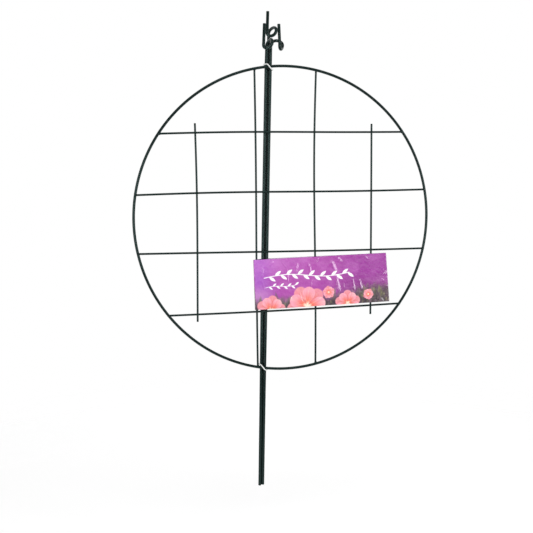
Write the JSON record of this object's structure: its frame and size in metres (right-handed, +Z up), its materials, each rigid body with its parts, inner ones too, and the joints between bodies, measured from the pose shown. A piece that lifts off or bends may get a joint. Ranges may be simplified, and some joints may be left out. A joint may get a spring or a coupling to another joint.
{
  "type": "grow-through plant support grid",
  "caption": "Round welded wire grid that plants grow up through, with hooked stake legs tied across its back and a printed film sleeve round the wires.",
  "frame": {"origin": "the spot on the inside of the hoop, just beside the legs near the hoop's top, where a peg holds the part up", "axes": "+Z up along the hanging part and its legs, +X to the right in the plane of the hoop, the printed front faces -Y"},
  "size_m": [0.4064, 0.029, 0.6352],
  "materials": {
    "coated_wire": "very dark green plastic coat on steel wire, semi-gloss",
    "tie_coating": "white plastic coat on soft wire",
    "printed_film": "glossy printed film, purple ground with coral petals and dark foliage"
  },
  "bodies": {
    "grid": {"hoop": "coated_wire", "row_wire_1": "coated_wire", "row_wire_2": "coated_wire", "row_wire_3": "coated_wire", "row_wire_4": "coated_wire", "column_wire_1": "coated_wire", "column_wire_2": "coated_wire", "column_wire_3": "coated_wire", "column_wire_4": "coated_wire", "tie_upper": "tie_coating", "tie_lower": "tie_coating"},
    "left_leg": {"leg_left": "coated_wire"},
    "right_leg": {"leg_right": "coated_wire"},
    "rear_leg": {"leg_rear": "coated_wire"},
    "label": {"label_sleeve": "printed_film"}
  },
  "joints": [
    {"name": "rear_leg_slide", "type": "slide", "parent": "grid", "child": "rear_leg", "axis": [0.0289, 0, 0.9996], "range_m": [0, 0.575]},
    {"name": "left_leg_slide", "type": "slide", "parent": "grid", "child": "left_leg", "axis": [0.0277, 0, 0.9996], "range_m": [0, 0.575]},
    {"name": "right_leg_slide", "type": "slide", "parent": "grid", "child": "right_leg", "axis": [0.0283, 0, 0.9996], "range_m": [0, 0.575]},
    {"name": "label_play", "type": "slide", "parent": "grid", "child": "label", "axis": [0, 0, 1], "range_m": [0, 0.0035]}
  ],
  "couplings": [
    {"joint": "left_leg_slide", "follows": "rear_leg_slide", "ratio": 1},
    {"joint": "right_leg_slide", "follows": "rear_leg_slide", "ratio": 1}
  ]
}
